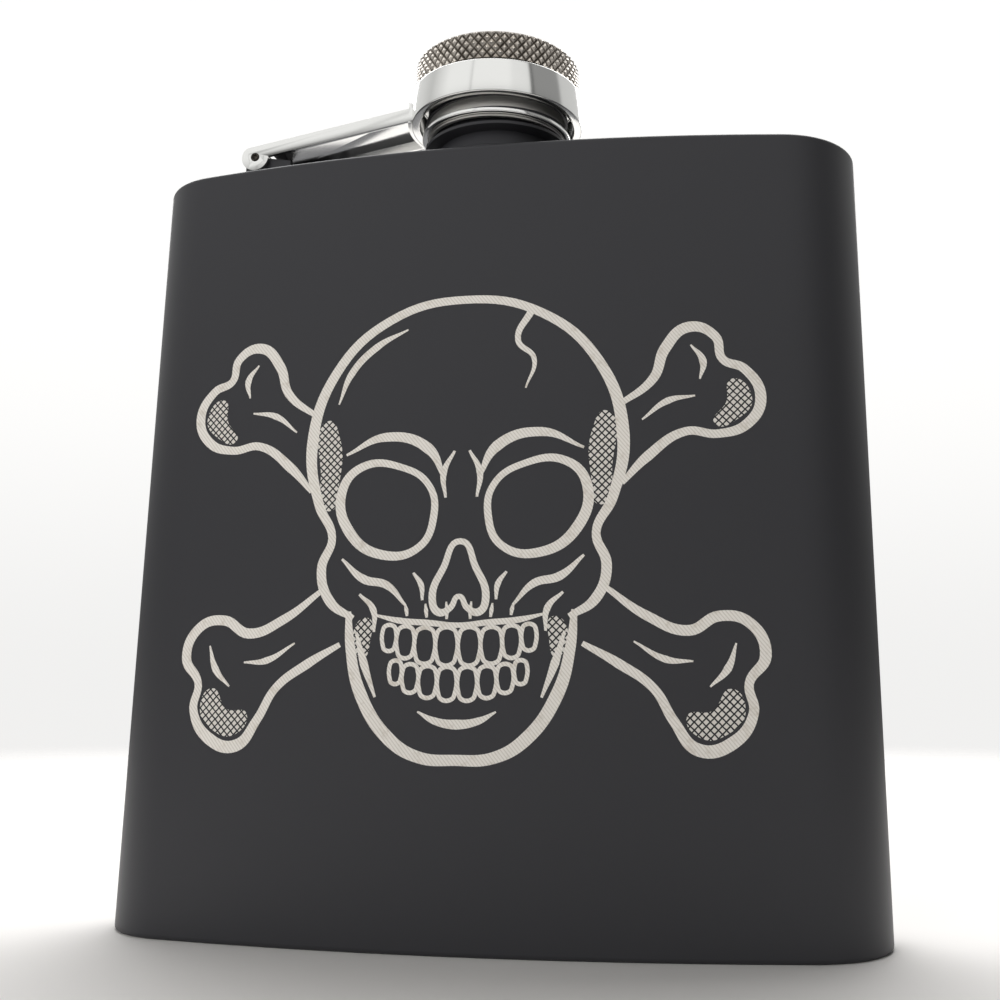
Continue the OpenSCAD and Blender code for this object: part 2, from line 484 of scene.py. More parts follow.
class FLASK_OT_top(bpy.types.Operator):
    """Press the top plate, with its rounded edge and the hole for the neck"""

    bl_idname = "flask.top"
    bl_label = "Top plate"

    def execute(self, context):
        shape = BodyShape()
        low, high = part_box("top_plate")
        inner = 2.5 * shape.sizes.sheet
        piece = begin("top")
        shape.wrap(rounded([
            (inner, low.z, 0), (0, low.z, 0), (0, high.z, shape.sizes.top_round),
            (inner, high.z, 0),
        ]))
        hole = context.scene.flask_cap.neck
        for height in (low.z, high.z):
            bpy.ops.mesh.select_all(action="DESELECT")
            bpy.ops.mesh.primitive_circle_add(
                vertices=128, radius=hole, location=cap_axis() + Vector((0, 0, height))
            )
            choose_rim(height)
            bpy.ops.mesh.fill()
        axis = cap_axis()
        near = 1.01 * hole
        choose(lambda co: hypot(co.x - axis.x, co.y - axis.y) < near, "EDGE")
        bpy.ops.mesh.bridge_edge_loops()
        close_up()
        finish_piece(piece, "flask", [black_coating()], ["top_plate"])
        return {"FINISHED"}


class FLASK_OT_base(bpy.types.Operator):
    """Press the base: a flat rim to stand on and a raised middle"""

    bl_idname = "flask.base"
    bl_label = "Base"

    def execute(self, context):
        shape = BodyShape()
        sizes = shape.sizes
        sheet = sizes.sheet
        low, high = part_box("bottom_plate")
        step = sizes.rim + sheet
        inner = step + 2 * sheet
        piece = begin("base")
        shape.wrap(rounded([
            (inner, high.z, 0), (sizes.rim, high.z, 0.7 * sheet),
            (sizes.rim, low.z + sheet, 0.3 * sheet), (0, low.z + sheet, 0),
            (0, low.z, sizes.base_round), (step, low.z, 0.4 * sheet),
            (step, low.z + sizes.rise, 0.4 * sheet), (inner, low.z + sizes.rise, 0),
        ]))
        for height in (high.z, low.z + sizes.rise):
            choose_rim(height)
            bpy.ops.mesh.fill()
        close_up()
        finish_piece(piece, "flask", [black_coating()], ["bottom_plate"])
        return {"FINISHED"}


# ---------------------------------------------------------------- neck and cap

# Heights above the top plate at which the two threads start, and their turns
NECK_THREAD = 2.1 * MM
NECK_TURNS = 3.4
SLEEVE_THREAD = 5.9 * MM
SLEEVE_TURNS = 1.4
# Bearing at which the sleeve's thread starts, so that it runs between the neck's turns
SLEEVE_START = radians(144)
# How deep a thread's root is sunk in its wall, and how far the neck is in its bead
SUNK = 0.12 * MM
BEAD_LAP = 0.1 * MM


def thread(name, root, crest, low, turns, start, steps=72):
    """A helical ridge from radius root to radius crest, closed at both ends."""
    sizes = bpy.context.scene.flask_cap
    axis = cap_axis()
    piece = begin(name)
    base, tip = sizes.ridge_base / 2, sizes.ridge_crest / 2
    draw([Vector((r, 0, h)) for r, h in
          ((root, -base), (crest, -tip), (crest, tip), (root, base))], closed=True)
    bpy.ops.object.mode_set(mode="OBJECT")
    turn = piece.modifiers.new("turn", "SCREW")
    turn.angle = tau * turns
    turn.screw_offset = sizes.pitch * turns
    turn.steps = turn.render_steps = ceil(steps * turns)
    turn.use_merge_vertices = False
    hold(piece)
    bpy.ops.object.modifier_apply(modifier=turn.name)
    bpy.ops.object.mode_set(mode="EDIT")
    bpy.ops.mesh.select_mode(type="EDGE")
    bpy.ops.mesh.select_all(action="DESELECT")
    bpy.ops.mesh.select_non_manifold()
    bpy.ops.mesh.edge_face_add()
    bpy.ops.mesh.select_all(action="SELECT")
    bpy.ops.mesh.normals_make_consistent(inside=False)
    bpy.ops.object.mode_set(mode="OBJECT")
    piece.data.transform(
        Matrix.Translation(axis + Vector((0, 0, low))) @ Matrix.Rotation(start, 4, "Z")
    )
    return piece


class FLASK_OT_neck(bpy.types.Operator):
    """Turn the threaded spout with its weld bead"""

    bl_idname = "flask.neck"
    bl_label = "Neck"

    def execute(self, context):
        cap = context.scene.flask_cap
        low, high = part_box("neck")
        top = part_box("top_plate")[1].z
        bead = 1.2 * cap.neck
        edge = 0.25 * MM
        spout = lathe("spout", rounded([
            (cap.mouth, low.z, 0), (cap.neck, low.z, 0),
            (cap.neck, top - BEAD_LAP, 0), (bead, top - BEAD_LAP, 0),
            (bead, top + cap.weld, 0.55 * cap.weld), (cap.neck, top + cap.weld, 0.3 * cap.weld),
            (cap.neck, high.z, edge), (cap.mouth, high.z, edge),
        ]), cap_axis(), closed=True)
        crest = (high.x - low.x) / 2
        combine(spout, thread("thread", cap.neck - SUNK, crest, top + NECK_THREAD, NECK_TURNS, 0))
        finish_piece(spout, "flask", [black_coating()], ["neck"])
        return {"FINISHED"}


class FLASK_OT_sleeve(bpy.types.Operator):
    """Turn the threaded sleeve with its groove and its closed top"""

    bl_idname = "flask.sleeve"
    bl_label = "Threaded sleeve"

    def execute(self, context):
        cap = context.scene.flask_cap
        low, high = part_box("threaded_sleeve")
        ring_low, ring_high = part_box("retaining_ring")
        seal_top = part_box("cap_liner")[1].z
        knob_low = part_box("knob")[0].z
        gap = 0.05 * MM
        root = cap.sleeve - cap.sleeve_wall
        groove = cap.sleeve - cap.groove
        shoulder = (high.x - low.x) / 2
        edge = 0.12 * MM
        sleeve = lathe("sleeve", rounded([
            (0, seal_top, 0), (root, seal_top, 0.2 * MM), (root, low.z, edge),
            (cap.sleeve, low.z, edge), (cap.sleeve, ring_low.z - gap, 0),
            (groove, ring_low.z - gap, 0), (groove, ring_high.z + gap, 0),
            (cap.sleeve, ring_high.z + gap, 0), (cap.sleeve, knob_low, 0),
            (shoulder, knob_low, edge), (shoulder, high.z, edge), (0, high.z, 0),
        ]), cap_axis())
        clear = 0.2 * MM
        ridge = thread("inner_thread", root + SUNK, cap.neck + clear,
                       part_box("top_plate")[1].z + SLEEVE_THREAD, SLEEVE_TURNS, SLEEVE_START)
        hold(sleeve)
        ridge.select_set(True)
        bpy.ops.object.join()
        finish_piece(sleeve, "cap", [turned_steel()], ["threaded_sleeve"])
        return {"FINISHED"}


class FLASK_OT_seal(bpy.types.Operator):
    """Cut the soft disc that seals on the neck's rim, with the ring the rim presses into it"""

    bl_idname = "flask.seal"
    bl_label = "Seal"

    def execute(self, context):
        cap = context.scene.flask_cap
        low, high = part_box("cap_liner")
        rim = (high.x - low.x) / 2
        dent = 0.08 * MM
        edge = 0.15 * MM
        outline = rounded([
            (0, high.z, 0), (rim, high.z, edge), (rim, low.z, edge),
            (cap.neck + 2 * dent, low.z, dent), (cap.neck + dent, low.z + dent, 0),
            (cap.mouth - dent, low.z + dent, 0), (cap.mouth - 2 * dent, low.z, dent),
            (0, low.z, 0),
        ], steps=3)
        piece = lathe("seal", outline, cap_axis())
        finish_piece(piece, "cap", [soft_seal()], ["cap_liner"])
        return {"FINISHED"}


class FLASK_OT_collar(bpy.types.Operator):
    """Draw the polished collar, open below, with its turned-in lip"""

    bl_idname = "flask.collar"
    bl_label = "Collar"

    def execute(self, context):
        cap = context.scene.flask_cap
        low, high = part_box("cap_ring")
        outer = (high.y - low.y) / 2
        lip = outer - cap.collar_lip
        wall = outer - cap.collar_wall
        throat = cap.sleeve + 0.1 * MM
        lip_top = low.z + 0.6 * MM
        roof = high.z - cap.collar_wall
        piece = lathe("collar", rounded([
            (lip, low.z, 0.15 * MM), (outer, low.z, 0.18 * MM), (outer, high.z, 0.3 * MM),
            (throat, high.z, 0.12 * MM), (throat, roof, 0.12 * MM), (wall, roof, 0.3 * MM),
            (wall, lip_top, 0.1 * MM), (lip, lip_top, 0.15 * MM),
        ], steps=4, closed=True), cap_axis(), steps=160, closed=True)
        finish_piece(piece, "arm", [polished_steel()], ["cap_ring"])
        return {"FINISHED"}


class FLASK_OT_clip(bpy.types.Operator):
    """Turn the bright ring that keeps the cap in the collar"""

    bl_idname = "flask.clip"
    bl_label = "Retaining ring"

    def execute(self, context):
        cap = context.scene.flask_cap
        low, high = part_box("retaining_ring")
        outer = (high.x - low.x) / 2
        inner = cap.sleeve - cap.groove + 0.05 * MM
        edge = 0.14 * MM
        piece = lathe("retaining_clip", rounded([
            (inner, low.z, edge), (outer, low.z, edge), (outer, high.z, edge),
            (inner, high.z, edge),
        ], steps=4, closed=True), cap_axis(), closed=True)
        finish_piece(piece, "retainer", [polished_steel()],
                     ["retaining_ring"])
        return {"FINISHED"}


class FLASK_OT_knob(bpy.types.Operator):
    """Turn the knob and roll its diamond knurl"""

    bl_idname = "flask.knob"
    bl_label = "Knurled knob"

    def execute(self, context):
        cap = context.scene.flask_cap
        axis = cap_axis()
        low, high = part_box("knob")
        outer = (high.x - low.x) / 2
        valley = outer - cap.knurl_depth
        inner = outer - cap.knob_wall
        roof = high.z - cap.knob_roof
        foot = low.z + 0.12 * MM
        brim_r = 0.42 * MM
        brim = high.z - brim_r
        tip = 0.16 * MM
        rise = (brim - foot) / cap.knurl_rows
        rows = [foot + rise * k for k in range(cap.knurl_rows + 1)]
        edge = arc(valley - brim_r, brim, brim_r, 0, 90, 5)[1:]
        outline = [Vector((0, roof)), Vector((inner, roof)), Vector((inner, low.z)),
                   Vector((valley - 0.1 * MM, low.z))]
        outline += [Vector((valley, h)) for h in rows] + edge + [Vector((0, high.z))]
        columns = 2 * cap.knurl_count
        piece = lathe("knob_shell", outline, axis, steps=columns)

        def lattice(co):
            """Column and row of a point on the knurled band, or None off it."""
            if abs(hypot(co.x - axis.x, co.y - axis.y) - valley) > 0.02 * MM:
                return None
            row = (co.z - foot) / rise
            if abs(row - round(row)) > 0.05:
                return None
            column = atan2(co.y - axis.y, co.x - axis.x) / tau * columns
            return round(column), round(row)

        def is_valley(co):
            at = lattice(co)
            return at is not None and sum(at) % 2 == 1

        def is_peak(co):
            at = lattice(co)
            return at is not None and sum(at) % 2 == 0

        hold(piece)
        bpy.ops.object.mode_set(mode="EDIT")
        choose(is_valley)
        bpy.ops.mesh.vert_connect()
        choose(is_peak)
        swell = outer / valley
        bpy.ops.transform.resize(value=(swell, swell, 1), center_override=axis)
        bpy.ops.mesh.bevel(offset=tip, affect="VERTICES", segments=1)
        close_up()
        finish_piece(piece, "cap", [knurled_steel(axis, valley, outer)],
                     ["knob"])
        return {"FINISHED"}


# ---------------------------------------------------------------- arm and hinge


class FLASK_OT_arm(bpy.types.Operator):
    """Fold the swing arm: a top sheet, two flanges with round cheeks, and the saddle"""

    bl_idname = "flask.arm"
    bl_label = "Swing arm"

    def execute(self, context):
        sizes = context.scene.flask_arm
        pin = pin_centre()
        axis = cap_axis()
        low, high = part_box("hinge_arm")
        pin_low, pin_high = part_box("hinge_pin")
        ring_low, ring_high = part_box("cap_ring")
        ring_r = (ring_high.y - ring_low.y) / 2
        half = (high.y - low.y) / 2
        reach = (axis.x - pin.x) / cos(sizes.slope)
        base = ring_low.z + 0.2 * MM
        beyond = 9 * MM
        piece = self.fold_channel(sizes, reach, half)
        slope = Matrix.Rotation(-sizes.slope, 4, "Y")
        piece.data.transform(Matrix.Translation(pin) @ slope)
        combine(piece, self.roll_saddle(sizes, axis, ring_r, half, base))
        drill(piece, ring_r, base - beyond, base + beyond, axis, along="Z", steps=160)
        drill(piece, (pin_high.z - pin_low.z) / 2, low.y - MM, high.y + MM, pin)
        soften(piece, 0.1 * MM)
        finish_piece(piece, "arm", [polished_steel()], ["hinge_arm"])
        return {"FINISHED"}

    def fold_channel(self, sizes, reach, half):
        """The top sheet and the two flanges, level, with the pin's middle at the origin."""
        top = sqrt(sizes.cheek**2 - sizes.over**2)
        side = atan2(-sizes.under, sqrt(sizes.cheek**2 - sizes.under**2))
        start = 180 - atan2(sizes.over, top) * 180 / pi
        cheek = arc(0, 0, sizes.cheek, start + 12, 360 + side * 180 / pi, 40)
        outline = [Vector((reach, -sizes.under)), Vector((reach, sizes.over)),
                   Vector((0.15 * MM - top, sizes.over)), *cheek]
        channel = slab("arm", outline, -half, half)
        room = half - sizes.sheet
        under_top = sizes.over - sizes.sheet
        far = 2 * sizes.cheek
        hollow = slab("hollow", [
            Vector((-far, -far)), Vector((reach + far, -far)),
            Vector((reach + far, under_top)), Vector((sizes.start, under_top)),
            Vector((sizes.start, far)), Vector((-far, far)),
        ], -room, room)
        return combine(channel, hollow, "DIFFERENCE")

    def roll_saddle(self, sizes, axis, ring_r, half, base):
        """The curved strip that is welded to the collar."""
        saddle = begin("saddle")
        inner = ring_r - 0.05 * MM
        outer = ring_r + sizes.sheet
        top = base + sizes.saddle
        spread = atan2(half, sqrt(outer**2 - half**2))
        draw([axis + Vector((-r * cos(spread), -r * sin(spread), h)) for r, h in (
            (inner, base), (outer, base), (outer, top), (inner, top))], closed=True)
        bpy.ops.mesh.edge_face_add()
        bpy.ops.mesh.spin(steps=32, angle=2 * spread, center=axis, axis=(0, 0, 1))
        close_up()
        return saddle


class FLASK_OT_bracket(bpy.types.Operator):
    """Form the welded bracket whose knuckle carries the pin"""

    bl_idname = "flask.bracket"
    bl_label = "Hinge bracket"

    def execute(self, context):
        sizes = context.scene.flask_arm
        pin = pin_centre()
        low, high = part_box("hinge_base")
        foot = low.z + sizes.foot
        knuckle = arc(pin.x, pin.z, sizes.knuckle, 180, 0, 24)
        # The knuckle's sheet runs on level to the post at the back
        back = pin.x + 4.9 * MM
        shelf = pin.z - 0.6 * MM
        outline = [Vector((low.x, low.z)), Vector((low.x, foot)),
                   Vector((pin.x - sizes.knuckle, foot)), *knuckle,
                   Vector((back, shelf)), Vector((back, foot)),
                   Vector((high.x, foot)), Vector((high.x, low.z))]
        piece = slab("bracket", outline, low.y, high.y)
        pin_low, pin_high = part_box("hinge_pin")
        slack = 0.03 * MM
        drill(piece, (pin_high.z - pin_low.z) / 2 + slack, low.y - MM, high.y + MM, pin)
        soften(piece, 0.12 * MM)
        finish_piece(piece, "flask", [black_coating()], ["hinge_base"])
        return {"FINISHED"}


class FLASK_OT_pin(bpy.types.Operator):
    """Turn the hinge pin, with a shallow cup in each end"""

    bl_idname = "flask.pin"
    bl_label = "Hinge pin"

    def execute(self, context):
        low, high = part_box("hinge_pin")
        r = (high.z - low.z) / 2
        cup = 0.62 * r
        deep = 0.3 * r
        edge = 0.12 * r
        outline = rounded([
            (0, low.y + deep, 0), (0.6 * cup, low.y + deep, edge), (cup, low.y, edge),
            (r, low.y, edge), (r, high.y, edge), (cup, high.y, edge),
            (0.6 * cup, high.y - deep, edge), (0, high.y - deep, 0),
        ], steps=3)
        piece = lathe("hinge_rivet", outline, pin_centre(), steps=48, along="Y")
        # Painted shade: the pin's near-black colour stands in for the shade of the hole that its
        # ends show
        finish_piece(piece, "arm", [dark_steel()], ["hinge_pin"])
        return {"FINISHED"}


# ---------------------------------------------------------------- engraved picture

# Lines as (across, up, width) in millimetres from the foot of the picture's middle
# line. HALVES are drawn from that middle line outwards and joined to their mirror
# image; PAIRED lines and loops are drawn on both sides of it.
HALVES = [
    [(0, 55, 1.0), (9.5, 52.9, 1.1), (16.4, 46.6, 1.25), (19.2, 37.6, 1.5),
     (17.9, 30.2, 1.2), (16.0, 26.2, 1.0), (17.2, 22.4, 1.2), (15.9, 18.6, 1.2),
     (12.9, 16.6, 0.7)],
    [(0, 0.7, 1.2), (4.4, 1.0, 1.3), (8.0, 3.0, 1.5), (11.6, 8.0, 1.5), (13.1, 13.4, 1.2),
     (13.5, 17.4, 0.7)],
    [(0, 15.7, 0.6), (3.6, 16.0, 0.7), (7.2, 16.3, 0.7), (9.9, 16.9, 0.3)],
    [(0, 4.6, 1.1), (2.6, 5.0, 0.8), (4.6, 6.0, 0.2)],
]
NOSE = [(0, 25.4, 0.7), (1.9, 22.4, 0.8), (3.2, 18.9, 0.9), (2.4, 17.2, 0.9),
        (1.0, 17.7, 0.7), (0, 19.0, 0.6)]
EYE = [(3.3, 28.4, 0.9), (3.9, 32.0, 0.8), (7.4, 34.4, 0.8), (12.6, 34.6, 1.0),
       (15.0, 31.6, 1.2), (13.8, 26.8, 1.3), (9.6, 24.0, 1.1), (5.0, 24.8, 0.9)]
PAIRED = [
    # brow, frown, cheekbone and hollow of the cheek
    [(2.0, 32.6, 0.3), (4.2, 36.6, 1.3), (9.6, 38.2, 1.1), (14.6, 36.2, 0.3)],
    [(0.9, 36.2, 0.3), (2.2, 33.6, 0.8), (1.9, 30.6, 0.3)],
    [(14.6, 23.6, 0.3), (11.8, 21.2, 1.0), (8.8, 20.4, 0.9), (6.4, 18.0, 0.3)],
    [(12.2, 19.4, 0.3), (10.4, 17.6, 0.8), (10.2, 15.0, 0.3)],
    [(12.4, 15.0, 0.3), (11.3, 11.4, 1.0), (9.8, 7.6, 0.3)],
    [(5.6, 21.8, 0.3), (4.6, 20.4, 0.7), (4.4, 18.6, 0.3)],
    # roots of the teeth
    [(1.5, 18.4, 0.2), (1.4, 17.4, 0.5), (1.4, 16.4, 0.3)],
    [(4.0, 18.2, 0.2), (3.9, 17.4, 0.5), (3.8, 16.6, 0.3)],
    [(6.5, 18.2, 0.2), (6.3, 17.5, 0.5), (6.2, 16.8, 0.3)],
    # upper bones, from the skull round both knuckles and back
    [(18.4, 41.0, 0.6), (22.8, 44.4, 1.1), (24.2, 48.0, 1.3), (27.0, 50.6, 1.3),
     (30.1, 49.4, 1.1), (30.9, 46.6, 1.0), (33.4, 45.4, 1.1), (35.2, 42.0, 1.3),
     (33.6, 38.8, 1.2), (30.2, 37.6, 1.0), (26.4, 37.9, 1.0), (22.0, 35.0, 1.2),
     (19.0, 31.9, 0.6)],
    [(21.4, 39.4, 0.2), (24.4, 41.6, 0.8), (27.6, 42.2, 0.2)],
    [(27.2, 48.4, 0.2), (28.6, 46.4, 0.9), (28.2, 44.2, 0.2)],
    # lower bones
    [(16.9, 20.0, 0.6), (21.8, 16.6, 1.1), (26.4, 15.0, 1.2), (29.8, 16.6, 1.2),
     (33.2, 15.8, 1.2), (34.8, 12.2, 1.3), (32.9, 9.2, 1.0), (33.3, 6.0, 1.1),
     (31.0, 2.8, 1.4), (27.2, 2.0, 1.4), (24.6, 5.0, 1.1), (22.4, 8.6, 1.0),
     (18.4, 11.4, 1.1), (14.4, 13.6, 0.6)],
    [(20.2, 13.8, 0.2), (23.8, 11.8, 0.8), (26.8, 11.6, 0.2)],
    [(31.6, 13.6, 0.2), (30.6, 10.8, 0.9), (28.6, 8.8, 0.2)],
]
# Lines on one side only: the shine on the brow and a crack
SINGLE = [
    [(-15.9, 42.6, 0.2), (-14.4, 46.4, 0.9), (-11.2, 49.6, 0.9), (-7.2, 51.6, 0.2)],
    [(8.2, 53.2, 0.9), (6.6, 49.6, 0.7), (8.6, 47.2, 0.6), (7.6, 43.6, 0.2)],
]
# Teeth of one side, as (middle across, middle up, width, height)
TEETH = [
    (1.35, 13.3, 2.4, 3.9), (3.95, 13.4, 2.3, 3.7), (6.3, 13.8, 2.0, 3.3),
    (8.3, 14.3, 1.6, 2.7), (1.2, 9.1, 2.1, 3.4), (3.5, 9.3, 2.0, 3.2),
    (5.6, 9.7, 1.8, 2.9), (7.4, 10.4, 1.4, 2.4),
]
# Cross-hatched patches as outlines, drawn on both sides
SHADED = [
    [(17.9, 34.2), (17.2, 40.6), (15.6, 38.4), (15.4, 33.0), (16.6, 29.4)],
    [(12.6, 15.6), (10.9, 16.6), (10.6, 14.2), (11.6, 12.0)],
    [(32.4, 6.0), (30.6, 3.8), (27.6, 3.2), (26.0, 5.6), (28.8, 6.2), (31.0, 8.6)],
    [(34.2, 41.8), (32.8, 39.6), (29.8, 38.8), (31.2, 41.4), (31.9, 44.2)],
]


def mirrored(points):
    return [(-p[0], *p[1:]) for p in points]


def tooth(x, z, width, height):
    """The rounded outline of one tooth."""
    w, h, line = width / 2, height / 2, 0.5
    return [(x + w * a, z + h * b, line) for a, b in (
        (0.66, 1), (1, 0.62), (0.94, -0.6), (0.6, -1), (-0.6, -1), (-0.94, -0.6),
        (-1, 0.62), (-0.66, 1))]


def picture_lines():
    """Every line of the picture, as (points, whether it closes)."""
    lines = [(mirrored(half[:0:-1]) + half, False) for half in HALVES]
    lines.append((NOSE + mirrored(NOSE[-2:0:-1]), True))
    for side in (list, mirrored):
        lines += [(side(line), False) for line in PAIRED]
        lines.append((side(EYE), True))
        lines += [(side(tooth(*place)), True) for place in TEETH]
    return lines + [(line, False) for line in SINGLE]


def drawn(name, points, closed):
    """A smooth flat curve through points."""
    let_go()
    bpy.ops.curve.primitive_bezier_curve_add()
    line = bpy.context.object
    line.name = name
    curve = line.data
    curve.dimensions = "2D"
    curve.splines.clear()
    spline = curve.splines.new("BEZIER")
    spline.bezier_points.add(len(points) - 1)
    for knot, (x, z, *width) in zip(spline.bezier_points, points):
        knot.co = (x * MM, z * MM, 0)
        knot.radius = width[0] if width else 1
        knot.handle_left_type = knot.handle_right_type = "AUTO"
    spline.use_cyclic_u = closed
    curve.resolution_u = 8
    return line


def solid(line, deep):
    """Turn a flat curve into a closed plate of even thickness."""
    hold(line)
    bpy.ops.object.convert(target="MESH")
    plate = bpy.context.object
    bpy.ops.object.mode_set(mode="EDIT")
    for side in (1, -1):
        choose(lambda co: co.z * side > 0)
        bpy.ops.transform.resize(value=(1, 1, 0), center_override=(0, 0, side * deep))
    close_up()
    return plate


def onto_front(piece, shape, picture, gap):
    """Stand a flat plate up, cut it in strips and lay it on the bowed front wall."""
    hold(piece)
    bpy.ops.object.transform_apply(location=True, rotation=True, scale=True)
    piece.data.transform(
        Matrix.Translation((picture.centre, 0, picture.height)) @ Matrix.Rotation(pi / 2, 4, "X")
    )
    bpy.ops.object.mode_set(mode="EDIT")
    strip = 2 * MM
    count = int(shape.end_x / strip)
    for k in range(-count, count + 1):
        bpy.ops.mesh.select_all(action="SELECT")
        bpy.ops.mesh.bisect(plane_co=(k * strip, 0, 0), plane_no=(1, 0, 0))
    bpy.ops.object.mode_set(mode="OBJECT")
    for v in piece.data.vertices:
        v.co.y = shape.front(v.co.x) - gap if v.co.y < 0 else shape.front(v.co.x) + gap


class FLASK_OT_picture(bpy.types.Operator):
    """Engrave the picture in the coating of the front wall"""

    bl_idname = "flask.picture"
    bl_label = "Engraved picture"

    def execute(self, context):
        picture = context.scene.flask_picture
        shape = BodyShape()
        deep = 0.1 * MM
        nib = self.cut_nib(picture.weight, deep)
        plates = []
        for points, closed in picture_lines():
            line = drawn("line", points, closed)
            line.data.bevel_mode = "OBJECT"
            line.data.bevel_object = nib
            line.data.use_fill_caps = True
            plates.append(solid(line, deep))
        bpy.data.objects.remove(nib)
        engraving = plates[0]
        for plate in plates[1:]:
            combine(engraving, plate)
        engraving.name = "engraving"
        onto_front(engraving, shape, picture, picture.proud)
        finish_piece(engraving, "flask", [engraved_steel()])

        patches = []
        for outline in SHADED:
            for side in (list, mirrored):
                patch = drawn("patch", side(outline), True)
                patch.data.fill_mode = "BOTH"
                patch.data.extrude = deep
                patches.append(solid(patch, deep))
        hold(patches[0])
        for patch in patches:
            patch.select_set(True)
        bpy.ops.object.join()
        shading = bpy.context.object
        shading.name = "engraved_shading"
        onto_front(shading, shape, picture, 0.6 * picture.proud)
        finish_piece(shading, "flask", [hatched_steel()])
        return {"FINISHED"}

    def cut_nib(self, weight, deep):
        """The cross-section of a line one millimetre wide."""
        half = weight * MM / 2
        bpy.ops.curve.primitive_bezier_circle_add()
        nib = bpy.context.object
        nib.data.dimensions = "2D"
        nib.data.splines.clear()
        spline = nib.data.splines.new("POLY")
        spline.points.add(3)
        for point, (x, y) in zip(spline.points, ((-half, -deep), (half, -deep),
                                                 (half, deep), (-half, deep))):
            point.co = (x, y, 0, 1)
        spline.use_cyclic_u = True
        return nib


# ---------------------------------------------------------------- finishes


class Wiring:
    """Nodes added one by one, for a material or for the room."""

    def __init__(self, tree):
        self.nodes = tree.nodes
        self.links = tree.links

    def add(self, kind, inputs=None, **settings):
        node = self.nodes.new(kind)
        for key, value in settings.items():
            setattr(node, key, value)
        for key, value in (inputs or {}).items():
            self.feed(node.inputs[key], value)
        return node

    def feed(self, socket, value):
        """Link a socket to another one, or give it a value of its own."""
        if isinstance(value, bpy.types.NodeSocket):
            self.links.new(value, socket)
        else:
            socket.default_value = value

    def between(self, value, low, high, new_low=0.0, new_high=1.0, smooth=False):
        """Carry a value from one range to another, and stop at its ends."""
        return self.add("ShaderNodeMapRange", {
            "Value": value, "From Min": low, "From Max": high,
            "To Min": new_low, "To Max": new_high,
        }, interpolation_type="SMOOTHSTEP" if smooth else "LINEAR").outputs["Result"]

    def maths(self, operation, a, b=0.0):
        return self.add("ShaderNodeMath", {0: a, 1: b}, operation=operation).outputs[0]

    def blend(self, share, first, second):
        """Mix two colours, each one a socket or (red, green, blue)."""
        pair = [c if isinstance(c, bpy.types.NodeSocket) else (*c, 1) for c in (first, second)]
        mix = self.add("ShaderNodeMix", {0: share, 6: pair[0], 7: pair[1]}, data_type="RGBA")
        return mix.outputs[2]


class Finish(Wiring):
    """A new material, with its shader and the place on the piece to work from."""

    def __init__(self, name):
        self.material = bpy.data.materials.new(name)
        self.material.use_nodes = True
        super().__init__(self.material.node_tree)
        self.shader = self.nodes["Principled BSDF"]
        self.place = self.add("ShaderNodeTexCoord").outputs["Object"]

    def set(self, **values):
        """Set the shader's own sockets, named with _ for a space."""
        for key, value in values.items():
            self.feed(self.shader.inputs[key.replace("_", " ")], value)

    def noise(self, scale, detail=2.0, roughness=0.5, place=None, distortion=0.0):
        return self.add("ShaderNodeTexNoise", {
            "Vector": place or self.place, "Scale": scale, "Detail": detail,
            "Roughness": roughness, "Distortion": distortion,
        }).outputs["Fac"]

    def stretched(self, scale, turn=(0, 0, 0)):
        return self.add("ShaderNodeMapping", {
            "Vector": self.place, "Scale": scale, "Rotation": turn,
        }).outputs["Vector"]

    def bumps(self, height, distance, strength=1.0):
        return self.add("ShaderNodeBump", {
            "Height": height, "Distance": distance, "Strength": strength,
        }).outputs["Normal"]


def finish(build):
    """Let a finish be found by its name, and built only if no material has that name.

    The frame's own materials are found too, where a name is the same.
    """
    def find():
        found = bpy.data.materials.get(build.__name__)
        if found:
            return found
        f = Finish(build.__name__)
        build(f, bpy.context.scene.flask_finish)
        return f.material

    find.__doc__ = build.__doc__
    return find


@finish
def black_coating(f, colours):
    """Matte powder coating: fine grain, faint clouding, a few pale specks and scuffs."""
    base = colours.coating
    grain = f.noise(3200, 3.0, 0.6)
    clouds = f.noise(70, 3.0)
    dark = tuple(0.86 * c for c in base)
    light = tuple(1.18 * c for c in base)
    tone = f.blend(f.between(clouds, 0.35, 0.65), dark, light)
    cells = f.add("ShaderNodeTexVoronoi", {"Vector": f.place, "Scale": 420.0})
    dots = f.between(cells.outputs["Distance"], 0.035, 0.06, 1.0, 0.0)
    rare = f.between(f.noise(160, 1.0), 0.66, 0.70)
    specks = f.maths("MULTIPLY", dots, rare)
    fine = f.noise(1.0, 2.0, 0.5, f.stretched((2600, 2600, 90), (0, radians(8), 0)))
    where = f.between(f.noise(38, 1.0), 0.56, 0.66)
    scuffs = f.maths("MULTIPLY", f.between(fine, 0.73, 0.79), where)
    tone = f.blend(f.maths("MULTIPLY", scuffs, 0.25), tone, (0.10, 0.10, 0.11))
    tone = f.blend(f.maths("MULTIPLY", specks, 0.55), tone, (0.30, 0.29, 0.28))
    rough = f.maths("ADD", f.between(grain, 0.3, 0.7, 0.40, 0.50),
                    f.between(clouds, 0.3, 0.7, -0.03, 0.03))
    f.set(Base_Color=tone, Roughness=rough, Specular_IOR_Level=0.42,
          Normal=f.bumps(grain, 0.012 * MM, 0.55))


